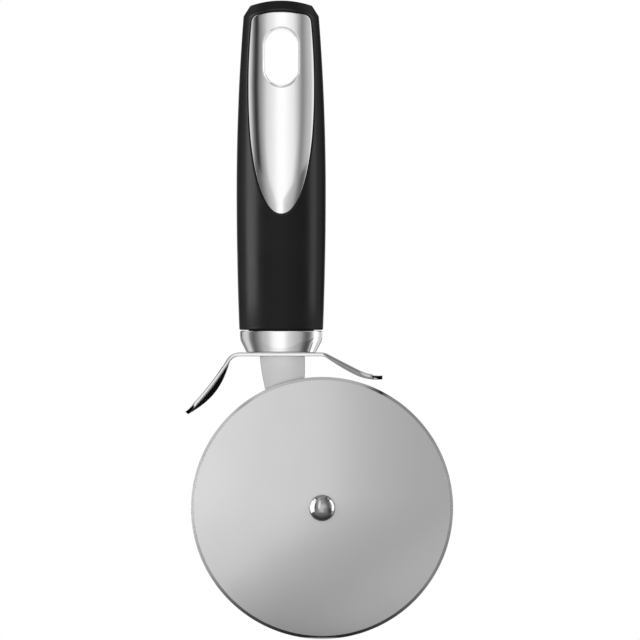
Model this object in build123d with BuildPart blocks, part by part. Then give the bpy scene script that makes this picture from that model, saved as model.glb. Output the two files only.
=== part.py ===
from build123d import *

import os
from math import asin, atan2, cos, hypot, pi, radians, sin, tan

# Pizza cutter: a steel wheel on a rivet, carried by a flat arm whose tang runs up into an oval
# hollow handle with a black grip, polished inlays and a hanging slot.
# Millimetres. The origin is the centre of the hanging slot, +Z runs up to the handle's end,
# +X to the right as the tool is seen from the front, and -Y points to the front.

# Handle: one barrel shape, whose pieces are layers of it
handle_length = 127.7
slot_below_end = 21.9
belly_below_slot = 52.0
belly_width = 34.6
belly_depth = 25.0
end_width = 28.2
end_depth = 16.6
base_width = 32.5
base_depth = 22.4
barrel_overrun = 1.0

# The handle's upper end: a shallow arch, two slanted corners and a bevel all round
arch_width = 23.9
arch_rise = 2.05
corner_height = 3.85
corner_run = 2.5
end_bevel = 3.2
end_bevel_angle = 45

# Layers of the handle, from the outside in
grip_wall = 1.8
core_wall = 2.2
adhesive_thickness = 0.25
inlay_proud = 0.3

# Hanging slot
liner_width = 14.1
liner_height = 23.4
liner_wall = 0.8
collar_wall = 1.6

# Inlays
inlay_width = 25.6
inlay_belly_below_slot = 11.2
inlay_tip_below_slot = 60.85
inlay_corner_above_slot = 15.7
inlay_end_width = 22.7
inlay_arch_rise = 1.85
inlay_corner_radius = 2.2
adhesive_margin = 1.2
# Places down the inlay's side, from its widest point to its tip: share of the drop, then share
# of the half width
inlay_side_shares = ((0.27, 0.975), (0.56, 0.865), (0.75, 0.710), (0.90, 0.488))

# Inside of the core
rib_thickness = 1.6
rib_shares = (0.36, 0.48, 0.60, 0.87)
pin_diameter = 3.0
pin_length = 15.0
pin_chamfer = 0.3
pin_boss_wall = 2.0
upper_pin_above_base = 42.1
lower_pin_above_base = 25.5
spigot_length = 5.0
spigot_step = 1.8

# Ferrule
ferrule_joint = 0.3
ferrule_width = 32.0
ferrule_depth = 21.8
ferrule_height = 8.4
ferrule_band = 3.3
ferrule_taper = 27
ferrule_shoulder_radius = 3.0
ferrule_wall = 1.0
ferrule_floor = 1.2
bond_thickness = 0.3
bond_margin = 0.5

# Finger guard
guard_thickness = 1.5
guard_width = 17.4
guard_bend_radius = 5.0
guard_tip_bow = 4.0
guard_tip_corner = 3.0
left_bend_from_axis = 16.2
left_bend_angle = 57
left_wing_length = 26.2
left_wing_ease = -11
left_cup = 2.3
right_bend_from_axis = 15.4
right_bend_angle = 26.8
right_wing_length = 13.5
right_curl_length = 10.0
right_cup = 0.9
least_bow = 0.01

# Arm and tang
arm_thickness = 2.0
arm_left_from_axis = 8.3
arm_right_from_axis = 9.2
arm_width = 16.0
arm_knee_below_guard = 9.686
arm_entry_lean = 5
arm_straight = 38.0
arm_knee_radius = 25.0
tang_width = 12.0
tang_length = 58.0
tang_corner = 2.0

# Wheel and its axle
wheel_diameter = 101.6
wheel_thickness = 1.0
edge_bevel_width = 1.2
edge_land = 0.24
axle_right_of_axis = 15.85
wheel_below_guard = 8.0
shoulder_diameter = 6.0
tail_diameter = 4.4
head_diameter = 10.1
head_rise = 2.9
head_rim = 0.35
rear_head_diameter = 8.4
rear_head_rise = 1.7
bush_wall = 1.4
bush_flange_diameter = 12.0
bush_flange_thickness = 0.8
bush_proud = 0.2
front_washer_diameter = 9.2
front_washer_thickness = 0.5
rear_washer_diameter = 12.0
rear_washer_thickness = 0.6
burr_diameter = 10.0
burr_thickness = 0.8

# Clearances
running_clearance = 0.05
end_play = 0.15
fit_clearance = 0.05
tang_clearance = 0.1
overrun = 5.0

# Levels along the handle
handle_end = slot_below_end
handle_base = handle_end - handle_length
ferrule_top = handle_base - ferrule_joint
ferrule_base = ferrule_top - ferrule_height
guard_top = ferrule_base
guard_middle = guard_top - guard_thickness / 2
arm_top = guard_top - guard_thickness
tang_top = arm_top + tang_length
seal_top = handle_base - spigot_length
seal_base = ferrule_base + ferrule_floor

# Depths through the wheel's stack, from the arm's front face forwards
arm_front = -arm_thickness / 2
rear_washer_front = arm_front - rear_washer_thickness
flange_rear = rear_washer_front - end_play
wheel_rear = flange_rear - bush_flange_thickness
wheel_front = wheel_rear - wheel_thickness
bush_front = wheel_front - bush_proud
front_washer_rear = bush_front - end_play
head_rear = front_washer_rear - front_washer_thickness
burr_rear = arm_thickness / 2 + burr_thickness

wheel_radius = wheel_diameter / 2
axle_level = arm_top - wheel_below_guard - wheel_radius
front_plane = Plane.XZ
axle = Axis((axle_right_of_axis, 0, axle_level), (0, 1, 0))
turning_plane = Plane((axle_right_of_axis, 0, axle_level))


def barrel_half(level, belly, end, base):
    """Half a size of the barrel at a level: a parabola up to its end, and one down to its base."""
    above_belly = level + belly_below_slot
    if above_belly > 0:
        share = above_belly / (handle_end + belly_below_slot)
        return (belly - (belly - end) * share**2) / 2
    share = -above_belly / (-belly_below_slot - handle_base)
    return (belly - (belly - base) * share**2) / 2


def barrel(inset, low, high):
    """The barrel from one level to another: a loft through ellipses, drawn in by an inset."""
    section_shares = (0, 0.2, 0.4, 0.6, 0.8, 1)
    with BuildPart() as form:
        for share in section_shares:
            level = low + (high - low) * share
            half_width = barrel_half(level, belly_width, end_width, base_width) - inset
            half_depth = barrel_half(level, belly_depth, end_depth, base_depth) - inset
            with BuildSketch(Plane.XY.offset(level)):
                with BuildLine():
                    for start in (0, 180):
                        EllipticalCenterArc((0, 0), half_width, half_depth, start, arc_size=180)
                make_face()
        loft()
    return form.part


def end_block(inset):
    """A block whose top is the handle's arched, cornered and bevelled end, drawn in by an inset."""
    half_arch = arch_width / 2
    arch_foot = handle_end - arch_rise
    side = belly_width
    shoulder = arch_foot - (side - half_arch) * corner_height / corner_run
    bottom = handle_base - side
    flat_depth = end_depth / 2 - end_bevel
    with BuildSketch(front_plane) as outline:
        with BuildLine():
            ThreePointArc((-half_arch, arch_foot), (0, handle_end), (half_arch, arch_foot))
            Polyline(
                (half_arch, arch_foot),
                (side, shoulder),
                (side, bottom),
                (-side, bottom),
                (-side, shoulder),
                (-half_arch, arch_foot),
            )
        make_face()
        if inset:
            offset(amount=-inset, kind=Kind.INTERSECTION, mode=Mode.REPLACE)
    with BuildPart() as form:
        extrude(outline.sketch, amount=flat_depth - inset, both=True)
        for side_face in (faces().sort_by(Axis.Y)[0], faces().sort_by(Axis.Y)[-1]):
            extrude(side_face, amount=end_depth / 2, taper=end_bevel_angle)
    return form.part


def handle_form(inset, low):
    """The handle's solid form, drawn in by an inset, down to a level."""
    body = barrel(inset, low, handle_end + barrel_overrun)
    ends = end_block(inset)
    with BuildPart() as form:
        add(body)
        add(ends, mode=Mode.INTERSECT)
    return form.part


def slot_outline(margin):
    """The outline of the liner of the hanging slot, upright, made larger by a margin."""
    with BuildSketch() as outline:
        SlotOverall(liner_height + 2 * margin, liner_width + 2 * margin, rotation=90)
    return outline.sketch


def inlay_outline(margin):
    """The shield-shaped inlay, made larger by a margin: an arch, long sides and a rounded tip."""
    half = inlay_width / 2 + margin
    belly = -inlay_belly_below_slot
    drop = inlay_tip_below_slot - inlay_belly_below_slot + margin
    corner = (inlay_end_width / 2 + margin, inlay_corner_above_slot + margin)
    side = [(half * wide, belly - drop * down) for down, wide in inlay_side_shares]
    with BuildSketch() as outline:
        with BuildLine():
            Spline((half, belly), *side, (0, belly - drop), tangents=((0, -1), (-1, 0)))
            TangentArc((half, belly), corner, tangent=(0, 1))
            ThreePointArc(corner, (0, corner[1] + inlay_arch_rise), (-corner[0], corner[1]))
            mirror(about=Plane.YZ)
        make_face()
        fillet(vertices().group_by(Axis.Y)[-1], inlay_corner_radius)
    return outline.sketch


os.makedirs("parts", exist_ok=True)

# Forms that the handle's layers share
loft_top = handle_end + barrel_overrun
skin_form = handle_form(0, handle_base)
core_form = handle_form(grip_wall, handle_base)
cavity_form = handle_form(grip_wall + core_wall, handle_base + core_wall)
inlay_face = barrel(-inlay_proud, handle_base, loft_top)
inlay_back = barrel(grip_wall - adhesive_thickness, handle_base, loft_top)
core_face = barrel(grip_wall, handle_base, loft_top)

# Black grip: a moulded skin over the core, with a window for each inlay
window = inlay_outline(fit_clearance)
with BuildPart() as grip:
    add(skin_form)
    add(core_form, mode=Mode.SUBTRACT)
    with BuildSketch(front_plane):
        add(window)
    extrude(amount=belly_depth, both=True, mode=Mode.SUBTRACT)
grip.part.label = "grip"
export_step(grip.part, "parts/grip.step")

# Core: a hollow barrel with ribs, pin bosses and a collar round the slot, split into two halves
pin_levels = (handle_base + upper_pin_above_base, handle_base + lower_pin_above_base)
rib_levels = [handle_end - handle_length * share for share in rib_shares]
pin_places = [(0, level) for level in pin_levels]
pin_hole_radius = pin_diameter / 2 + fit_clearance
spigot_half_width = base_width / 2 - grip_wall - spigot_step
spigot_half_depth = base_depth / 2 - grip_wall - spigot_step
collar_outline = slot_outline(collar_wall)
liner_hole = slot_outline(fit_clearance)

with BuildPart() as inner_frame:
    with BuildSketch(front_plane):
        add(collar_outline)
        with Locations(*pin_places):
            Circle(pin_hole_radius + pin_boss_wall)
    extrude(amount=belly_depth, both=True)
    for level in rib_levels:
        with BuildSketch(Plane.XY.offset(level)):
            Rectangle(belly_width, belly_depth)
        extrude(amount=rib_thickness)
    add(core_form, mode=Mode.INTERSECT)

with BuildPart() as whole_core:
    add(core_form)
    add(cavity_form, mode=Mode.SUBTRACT)
    add(inner_frame.part)
    with BuildSketch(Plane.XY.offset(handle_base)):
        Ellipse(spigot_half_width, spigot_half_depth)
    extrude(amount=-spigot_length)
    with BuildSketch(front_plane):
        add(liner_hole)
    extrude(amount=belly_depth, both=True, mode=Mode.SUBTRACT)
    with BuildSketch(Plane.XY.offset(seal_top)):
        Rectangle(tang_width + 2 * tang_clearance, arm_thickness + 2 * tang_clearance)
    extrude(amount=tang_top + tang_clearance - seal_top, mode=Mode.SUBTRACT)
    with BuildSketch(front_plane):
        with Locations(*pin_places):
            Circle(pin_hole_radius)
    extrude(amount=pin_length / 2 + fit_clearance, both=True, mode=Mode.SUBTRACT)

with BuildPart() as core_front:
    add(whole_core.part)
    split(bisect_by=front_plane, keep=Keep.TOP)
core_front.part.label = "core_front"
export_step(core_front.part, "parts/core_front.step")

with BuildPart() as core_rear:
    add(whole_core.part)
    split(bisect_by=front_plane, keep=Keep.BOTTOM)
core_rear.part.label = "core_rear"
export_step(core_rear.part, "parts/core_rear.step")

# Two pins through the core's halves and the tang
with BuildPart() as tang_pins:
    with BuildSketch(front_plane):
        with Locations(*pin_places):
            Circle(pin_diameter / 2)
    extrude(amount=pin_length / 2, both=True)
    chamfer(edges().filter_by(GeomType.CIRCLE), pin_chamfer)
tang_pins.part.label = "tang_pins"
export_step(tang_pins.part, "parts/tang_pins.step")

# Inlays and the pads that hold them, front and rear
plate = inlay_outline(0)
with BuildPart() as front_inlay:
    with BuildSketch(front_plane):
        add(plate)
        add(liner_hole, mode=Mode.SUBTRACT)
    extrude(amount=belly_depth)
    add(inlay_face, mode=Mode.INTERSECT)
    add(inlay_back, mode=Mode.SUBTRACT)
front_inlay.part.label = "front_inlay"
export_step(front_inlay.part, "parts/front_inlay.step")

with BuildPart() as rear_inlay:
    add(front_inlay.part, rotation=(0, 0, 180))
rear_inlay.part.label = "rear_inlay"
export_step(rear_inlay.part, "parts/rear_inlay.step")

pad = inlay_outline(-adhesive_margin)
pad_hole = slot_outline(adhesive_margin)
with BuildPart() as front_inlay_adhesive:
    with BuildSketch(front_plane):
        add(pad)
        add(pad_hole, mode=Mode.SUBTRACT)
    extrude(amount=belly_depth)
    add(inlay_back, mode=Mode.INTERSECT)
    add(core_face, mode=Mode.SUBTRACT)
front_inlay_adhesive.part.label = "front_inlay_adhesive"
export_step(front_inlay_adhesive.part, "parts/front_inlay_adhesive.step")

with BuildPart() as rear_inlay_adhesive:
    add(front_inlay_adhesive.part, rotation=(0, 0, 180))
rear_inlay_adhesive.part.label = "rear_inlay_adhesive"
export_step(rear_inlay_adhesive.part, "parts/rear_inlay_adhesive.step")

# Sleeve that lines the hanging slot from face to face
liner_outside = slot_outline(0)
liner_bore = slot_outline(-liner_wall)
with BuildPart() as hang_slot_liner:
    with BuildSketch(front_plane):
        add(liner_outside)
        add(liner_bore, mode=Mode.SUBTRACT)
    extrude(amount=belly_depth, both=True)
    add(inlay_face, mode=Mode.INTERSECT)
hang_slot_liner.part.label = "hang_slot_liner"
export_step(hang_slot_liner.part, "parts/hang_slot_liner.step")

# Ferrule: an oval cup, straight and then tapering, with a slot in its floor for the tang
tang_hole_width = tang_width + 2 * tang_clearance
tang_hole_depth = arm_thickness + 2 * tang_clearance
ferrule_draw_in = (ferrule_height - ferrule_band) * tan(radians(ferrule_taper)) + ferrule_wall
seal_half_width = ferrule_width / 2 - ferrule_draw_in
seal_half_depth = ferrule_depth / 2 - ferrule_draw_in
bond_half_width = spigot_half_width + fit_clearance + bond_thickness
bond_half_depth = spigot_half_depth + fit_clearance + bond_thickness

with BuildPart() as ferrule:
    with BuildSketch(Plane.XY.offset(ferrule_top)):
        Ellipse(ferrule_width / 2, ferrule_depth / 2)
    extrude(amount=-ferrule_band)
    extrude(faces().sort_by(Axis.Z)[0], amount=ferrule_height - ferrule_band, taper=ferrule_taper)
    fillet(edges().sort_by(Axis.Z)[1:-1], ferrule_shoulder_radius)
    with BuildSketch(Plane.XY.offset(ferrule_top)):
        Ellipse(bond_half_width + fit_clearance, bond_half_depth + fit_clearance)
    extrude(amount=seal_top - ferrule_top, mode=Mode.SUBTRACT)
    with BuildSketch(Plane.XY.offset(seal_top)):
        Ellipse(seal_half_width, seal_half_depth)
    extrude(amount=seal_base - seal_top, mode=Mode.SUBTRACT)
    with BuildSketch(Plane.XY.offset(seal_base)):
        Rectangle(tang_hole_width, tang_hole_depth)
    extrude(amount=-ferrule_floor, mode=Mode.SUBTRACT)
ferrule.part.label = "ferrule"
export_step(ferrule.part, "parts/ferrule.step")

# Ring of epoxy that bonds the ferrule to the core's spigot
with BuildPart() as ferrule_bond:
    with BuildSketch(Plane.XY.offset(ferrule_top - bond_margin)):
        Ellipse(bond_half_width, bond_half_depth)
        Ellipse(spigot_half_width + fit_clearance, spigot_half_depth + fit_clearance, mode=Mode.SUBTRACT)
    extrude(amount=seal_top - ferrule_top + bond_margin)
ferrule_bond.part.label = "ferrule_bond"
export_step(ferrule_bond.part, "parts/ferrule_bond.step")

# Rubber pad round the tang, between the core's spigot and the ferrule's floor
with BuildPart() as tang_seal:
    with BuildSketch(Plane.XY.offset(seal_base)):
        Ellipse(seal_half_width - fit_clearance, seal_half_depth - fit_clearance)
        Rectangle(tang_hole_width, tang_hole_depth, mode=Mode.SUBTRACT)
    extrude(amount=seal_top - seal_base)
tang_seal.part.label = "tang_seal"
export_step(tang_seal.part, "parts/tang_seal.step")


def bowed_edge(start, end, height, bow):
    """A level edge from start to end, which sags by its bow if it has one."""
    if bow < least_bow:
        return Edge.make_line((start, height), (end, height))
    return Edge.make_three_point_arc((start, height), (0, height - bow), (end, height))


def cupped_wing(side, bend_from_axis, bend_angle, runs, cup):
    """One wing of the guard, past its bend: a loft along its runs through strips bowed downwards.

    side is -1 on the left and 1 on the right, and each run is a length, a turn and its steps.
    """
    heading = radians(bend_angle)
    x = side * (bend_from_axis + guard_bend_radius * sin(heading))
    z = guard_middle - guard_bend_radius * (1 - cos(heading))
    root = Vector(x, 0, z)
    total = sum(length for length, turn, steps in runs)
    places = [(x, z, heading, 0)]
    for length, turn, steps in runs:
        for _ in range(steps):
            step = length / steps
            half_turn = radians(turn) / steps / 2
            chord = step * sin(half_turn) / half_turn if turn else step
            x += side * chord * cos(heading + half_turn)
            z -= chord * sin(heading + half_turn)
            heading += 2 * half_turn
            places.append((x, z, heading, places[-1][3] + step / total))
    tip = Vector(x, 0, z)
    reach = (tip - root).length
    half_width = guard_width / 2
    half_sheet = guard_thickness / 2
    with BuildPart() as wing:
        for x, z, heading, share in places:
            bow = cup * sin(pi * share)
            along = (side * cos(heading), 0, -sin(heading))
            with BuildSketch(Plane((x, 0, z), x_dir=(0, side, 0), z_dir=along)):
                with BuildLine():
                    add(bowed_edge(-half_width, half_width, half_sheet, bow))
                    Line((half_width, half_sheet), (half_width, -half_sheet))
                    add(bowed_edge(half_width, -half_width, -half_sheet, bow))
                    Line((-half_width, -half_sheet), (-half_width, half_sheet))
                make_face()
        loft()
        chord_plane = Plane(root, x_dir=tip - root, z_dir=(tip - root).cross(Vector(0, side, 0)))
        with BuildSketch(chord_plane):
            with BuildLine():
                end = reach - guard_tip_bow
                ThreePointArc((end, -half_width), (reach, 0), (end, half_width))
                Polyline(
                    (end, half_width), (-overrun, half_width), (-overrun, -half_width), (end, -half_width)
                )
            make_face()
            fillet(vertices().group_by(Axis.X)[-1], guard_tip_corner)
        extrude(amount=guard_width, both=True, mode=Mode.INTERSECT)
    return wing.part


# Finger guard: a bent plate across the handle's end, with a cupped wing on each side
left_wing = cupped_wing(
    -1,
    left_bend_from_axis,
    left_bend_angle,
    ((left_wing_length, left_wing_ease, 5),),
    left_cup,
)
right_wing = cupped_wing(
    1,
    right_bend_from_axis,
    right_bend_angle,
    (
        (right_wing_length, 0, 2),
        (right_curl_length, -right_bend_angle, 2),
    ),
    right_cup,
)
with BuildPart() as finger_guard:
    with BuildSketch(front_plane):
        with BuildLine():
            left_end = (-left_bend_from_axis, guard_middle)
            right_end = (right_bend_from_axis, guard_middle)
            Line(left_end, right_end)
            JernArc(left_end, (-1, 0), guard_bend_radius, left_bend_angle)
            JernArc(right_end, (1, 0), guard_bend_radius, -right_bend_angle)
        trace(line_width=guard_thickness)
    extrude(amount=guard_width / 2, both=True)
    add(left_wing)
    add(right_wing)
    with BuildSketch(Plane.XY.offset(guard_top)):
        Rectangle(tang_hole_width, tang_hole_depth)
    extrude(amount=-guard_thickness, mode=Mode.SUBTRACT)
finger_guard.part.label = "finger_guard"
export_step(finger_guard.part, "parts/finger_guard.step")

# Arm: a flat strip that leans out to the axle, with a narrower tang above its shoulders
arm_half = arm_width / 2
axle_place = (axle_right_of_axis, axle_level)
right_knee = (arm_right_from_axis, arm_top - arm_knee_below_guard)
knee_run = axle_place[0] - right_knee[0]
knee_rise = right_knee[1] - axle_place[1]
lean = atan2(knee_run, knee_rise) + asin(arm_half / hypot(knee_run, knee_rise))
entry_lean = radians(arm_entry_lean)
left_foot = (axle_place[0] - arm_half * cos(lean), axle_place[1] - arm_half * sin(lean))
right_foot = (axle_place[0] + arm_half * cos(lean), axle_place[1] + arm_half * sin(lean))
left_knee = (left_foot[0] - arm_straight * sin(lean), left_foot[1] + arm_straight * cos(lean))
tail_hole_radius = tail_diameter / 2 + fit_clearance

with BuildPart() as wheel_arm:
    with BuildSketch(front_plane):
        with BuildLine():
            Spline(
                (-arm_left_from_axis, arm_top),
                left_knee,
                tangents=((sin(entry_lean), -cos(entry_lean)), (sin(lean), -cos(lean))),
            )
            Polyline(
                left_knee,
                left_foot,
                right_foot,
                right_knee,
                (arm_right_from_axis, arm_top),
                (-arm_left_from_axis, arm_top),
            )
        make_face()
        fillet(vertices().sort_by_distance(right_knee)[0], arm_knee_radius)
        with Locations(axle_place):
            Circle(arm_half)
            Circle(tail_hole_radius, mode=Mode.SUBTRACT)
        with Locations((0, arm_top)):
            Rectangle(tang_width, tang_length, align=(Align.CENTER, Align.MIN))
        chamfer(vertices().group_by(Axis.Y)[-1], tang_corner)
        with Locations(*pin_places):
            Circle(pin_hole_radius, mode=Mode.SUBTRACT)
    extrude(amount=arm_thickness / 2, both=True)
wheel_arm.part.label = "wheel_arm"
export_step(wheel_arm.part, "parts/wheel_arm.step")

# The turned pieces on the axle are profiles of radius and depth, spun about it
shoulder_radius = shoulder_diameter / 2
bush_bore_radius = shoulder_radius + running_clearance
bush_radius = bush_bore_radius + bush_wall
bevel_depth = (wheel_thickness - edge_land) / 2

# Wheel: a flat disc with a ground bevel on both sides of its edge
with BuildPart() as cutting_wheel:
    with BuildSketch(turning_plane):
        with BuildLine():
            Polyline(
                (bush_radius + fit_clearance, wheel_rear),
                (wheel_radius - edge_bevel_width, wheel_rear),
                (wheel_radius, wheel_rear - bevel_depth),
                (wheel_radius, wheel_front + bevel_depth),
                (wheel_radius - edge_bevel_width, wheel_front),
                (bush_radius + fit_clearance, wheel_front),
                close=True,
            )
        make_face()
    revolve(axis=axle)
cutting_wheel.part.label = "cutting_wheel"
export_step(cutting_wheel.part, "parts/cutting_wheel.step")

# Flanged bush, pressed into the wheel from behind
with BuildPart() as wheel_bush:
    with BuildSketch(turning_plane):
        with BuildLine():
            Polyline(
                (bush_bore_radius, flange_rear),
                (bush_flange_diameter / 2, flange_rear),
                (bush_flange_diameter / 2, wheel_rear),
                (bush_radius, wheel_rear),
                (bush_radius, bush_front),
                (bush_bore_radius, bush_front),
                close=True,
            )
        make_face()
    revolve(axis=axle)
wheel_bush.part.label = "wheel_bush"
export_step(wheel_bush.part, "parts/wheel_bush.step")

# Rivet: a domed head, a shoulder that the bush runs on, a tail through the arm, a formed head
head_radius = head_diameter / 2
tail_radius = tail_diameter / 2
rear_head_radius = rear_head_diameter / 2
head_top = head_rear - head_rise
rear_head_top = burr_rear + rear_head_rise
with BuildPart() as axle_rivet:
    with BuildSketch(turning_plane):
        with BuildLine():
            TangentArc((0, head_top), (head_radius, head_rear - head_rim), tangent=(1, 0))
            Polyline(
                (head_radius, head_rear - head_rim),
                (head_radius, head_rear),
                (shoulder_radius, head_rear),
                (shoulder_radius, arm_front),
                (tail_radius, arm_front),
                (tail_radius, burr_rear),
                (rear_head_radius, burr_rear),
                (rear_head_radius, burr_rear + head_rim),
            )
            TangentArc(
                (0, rear_head_top), (rear_head_radius, burr_rear + head_rim), tangent=(1, 0)
            )
            Line((0, rear_head_top), (0, head_top))
        make_face()
    revolve(axis=axle)
axle_rivet.part.label = "axle_rivet"
export_step(axle_rivet.part, "parts/axle_rivet.step")

# Thrust washer under the rivet's head
with BuildPart() as front_washer:
    with BuildSketch(turning_plane):
        with BuildLine():
            Polyline(
                (bush_bore_radius, head_rear),
                (front_washer_diameter / 2, head_rear),
                (front_washer_diameter / 2, front_washer_rear),
                (bush_bore_radius, front_washer_rear),
                close=True,
            )
        make_face()
    revolve(axis=axle)
front_washer.part.label = "front_washer"
export_step(front_washer.part, "parts/front_washer.step")

# Spacer washer between the bush and the arm
with BuildPart() as rear_washer:
    with BuildSketch(turning_plane):
        with BuildLine():
            Polyline(
                (bush_bore_radius, rear_washer_front),
                (rear_washer_diameter / 2, rear_washer_front),
                (rear_washer_diameter / 2, arm_front),
                (bush_bore_radius, arm_front),
                close=True,
            )
        make_face()
    revolve(axis=axle)
rear_washer.part.label = "rear_washer"
export_step(rear_washer.part, "parts/rear_washer.step")

# Backing washer behind the arm, under the rivet's formed head
with BuildPart() as rivet_burr:
    with BuildSketch(turning_plane):
        with BuildLine():
            Polyline(
                (tail_hole_radius, arm_thickness / 2),
                (burr_diameter / 2, arm_thickness / 2),
                (burr_diameter / 2, burr_rear),
                (tail_hole_radius, burr_rear),
                close=True,
            )
        make_face()
    revolve(axis=axle)
rivet_burr.part.label = "rivet_burr"
export_step(rivet_burr.part, "parts/rivet_burr.step")
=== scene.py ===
from math import cos, pi, radians, sin, tan

import bmesh
import bpy
import numpy as np
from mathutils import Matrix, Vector


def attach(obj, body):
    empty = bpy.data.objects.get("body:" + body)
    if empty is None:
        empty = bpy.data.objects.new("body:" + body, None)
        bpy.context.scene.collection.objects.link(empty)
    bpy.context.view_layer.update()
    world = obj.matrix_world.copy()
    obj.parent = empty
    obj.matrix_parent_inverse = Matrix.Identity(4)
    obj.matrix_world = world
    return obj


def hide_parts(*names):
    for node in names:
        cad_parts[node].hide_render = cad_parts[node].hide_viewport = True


# Pizza cutter: a steel wheel on a rivet, a flat arm, a bent finger guard, a polished ferrule and an
# oval black handle with polished inlays and a hanging slot.
# The CAD frame's origin is the centre of the hanging slot, +Z runs up to the handle's end, +X to the
# right as the tool is seen from the front, and -Y points to the front. Sizes are in millimetres.
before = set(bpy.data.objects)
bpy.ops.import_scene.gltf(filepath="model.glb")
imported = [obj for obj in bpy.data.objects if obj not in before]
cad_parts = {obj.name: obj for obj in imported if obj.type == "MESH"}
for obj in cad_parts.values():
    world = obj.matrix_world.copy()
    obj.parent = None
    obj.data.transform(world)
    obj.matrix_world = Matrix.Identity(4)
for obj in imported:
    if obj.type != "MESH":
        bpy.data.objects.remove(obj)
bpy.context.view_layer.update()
mm = 0.001
weld = 0.002
square = ((-1, -1), (1, -1), (1, 1), (-1, 1))

# Handle's barrel
handle_end = 21.9
handle_base = -105.8
belly = -52.0
belly_width, belly_depth = 34.6, 25.0
end_width, end_depth = 28.2, 16.6
base_width, base_depth = 32.5, 22.4
grip_wall = 1.8
base_round = 0.7
widths = (belly_width, end_width, base_width)
depths = (belly_depth, end_depth, base_depth)
# Handle's end: arch, slanted corners and bevel
half_arch = 23.9 / 2
arch_rise = 2.05
corner_level = handle_end - arch_rise
corner_height, corner_run = 3.85, 2.5
end_bevel = 3.2
end_round = 0.35
crease_blend = 0.45
# The level below which the grip is a plain tube, under the inlays' tips
tube_top = -75.0

# Inlays: a superellipse below their widest level, a long arc and an arched top above it
inlay_half = 12.8
inlay_belly = -11.2
inlay_tip = -60.85
inlay_power = 2.2
inlay_corner = (11.35, 15.7)
inlay_rise = 1.85
inlay_corner_radius = 2.2
inlay_thickness = 1.85
inlay_proud = 0.3
inlay_edge, hole_edge = 0.3, 0.15
inlay_roll = 6.0
inlay_roll_top, inlay_roll_tip = 0.12, 0.85
window_gap = 0.08
lip_round = 0.55

# Hanging slot
slot_radius = 7.05
slot_straight = 4.65
liner_wall = 0.8
liner_gap = 0.05
liner_edge, liner_outer_edge = 0.22, 0.5

# Ferrule
ferrule_top = -106.1
ferrule_base = -114.5
ferrule_width, ferrule_depth = 32.0, 21.8
ferrule_band = 3.3
taper_slope = tan(radians(27))
ferrule_edge, foot_rise, shoulder_round = 0.35, 0.3, 1.4
# The half sizes of the ferrule's inside, round the seal and round the core's spigot
seal_oval, spigot_oval = (12.4, 7.3), (13.05, 8.0)
seal_base = -113.3
seal_top = -110.8
tang_slot = (6.1, 1.1)
# How far a cutting shape reaches to each side of the sheet that it cuts
cutter_reach = 3

# Finger guard. Each wing has its side, the place of its bend, its cup's depth and its runs, and each
# run has a length, a turn in degrees and a number of steps
guard_middle = -115.25
guard_thickness = 1.5
guard_half = 8.7
guard_edge = 0.35
guard_bend = 5.0
left_turn, right_turn = 57, 26.8
wings = (
    (-1, 16.2, 2.3, ((guard_bend * radians(left_turn), left_turn, 20), (26.2, -11, 240))),
    (
        1, 15.4, 0.9,
        ((guard_bend * radians(right_turn), right_turn, 14), (13.5, 0, 60), (10.0, -right_turn, 140)),
    ),
)
tip_bow = 4.0
tip_corner = 3.0
tip_least = 0.25

# Arm
arm_thickness = 2.0
arm_top = -116.0
arm_left, arm_right = -8.3, 9.2
arm_half = 8.0
arm_lean = radians(17)
arm_entry = radians(5)
arm_straight = 38.0
knee_radius = 25.0
tang_half = 6.0
tang_top = -58.0
tang_corner = 2.0
arm_edge = 0.2
pin_levels, pin_hole = (-63.7, -80.3), 1.55

# Wheel and what it turns on: depths run from the front at -y
axle = (15.85, -174.8)
wheel_radius = 50.8
wheel_front, wheel_rear = -3.55, -2.55
edge_bevel_width, edge_land = 1.2, 0.24
bore_edge, rim_edge = 0.05, 0.04
bush_front, bush_rear, flange_radius = -3.75, -1.75, 6.0
bush_bore, bush_outer = 3.05, 4.45
shoulder_radius = 3.0
tail_radius = 2.2
head_radius = 5.05
head_rise, head_rim = 2.9, 0.35
soft_edge = 0.12
head_rear = -4.4
rear_head_radius, rear_head_rise = 4.2, 1.7
burr_rear = 1.8


# Mesh making
def grid(points, around=False, along=False):
    """A grid of points, rows by columns, whose columns and rows may close on themselves."""
    return ("grid", np.asarray(points, float), around, along)


def cap(points):
    """One flat face round a closed line of points."""
    return ("cap", np.asarray(points, float), False, False)


def grid_faces(rows, columns, around, along):
    """Corner numbers of a grid's quads: each joins a point to the next one and both to the next row."""
    row = np.arange(rows if along else rows - 1)
    column = np.arange(columns if around else columns - 1)
    row, column = np.meshgrid(row, column, indexing="ij")
    next_row = (row + 1) % rows
    next_column = (column + 1) % columns
    corners = (
        row * columns + column,
        row * columns + next_column,
        next_row * columns + next_column,
        next_row * columns + column,
    )
    return np.stack(corners, -1).reshape(-1, 4).tolist()


def closed_mesh(name, patches):
    """A mesh of patches, welded where they meet and turned outwards."""
    points, faces, first = [], [], 0
    for kind, array, around, along in patches:
        if kind == "grid":
            quads = grid_faces(array.shape[0], array.shape[1], around, along)
            faces += [[first + corner for corner in quad] for quad in quads]
        else:
            faces.append(list(range(first, first + len(array))))
        flat = array.reshape(-1, 3)
        points.append(flat)
        first += len(flat)
    mesh = bpy.data.meshes.new(name)
    mesh.from_pydata((np.concatenate(points) * mm).tolist(), [], faces)
    shape = bmesh.new()
    shape.from_mesh(mesh)
    bmesh.ops.remove_doubles(shape, verts=shape.verts, dist=weld * mm)
    bmesh.ops.recalc_face_normals(shape, faces=shape.faces)
    shape.to_mesh(mesh)
    shape.free()
    return mesh


def placed(name, data):
    """A new object in the scene."""
    thing = bpy.data.objects.new(name, data)
    bpy.context.scene.collection.objects.link(thing)
    return thing


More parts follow.
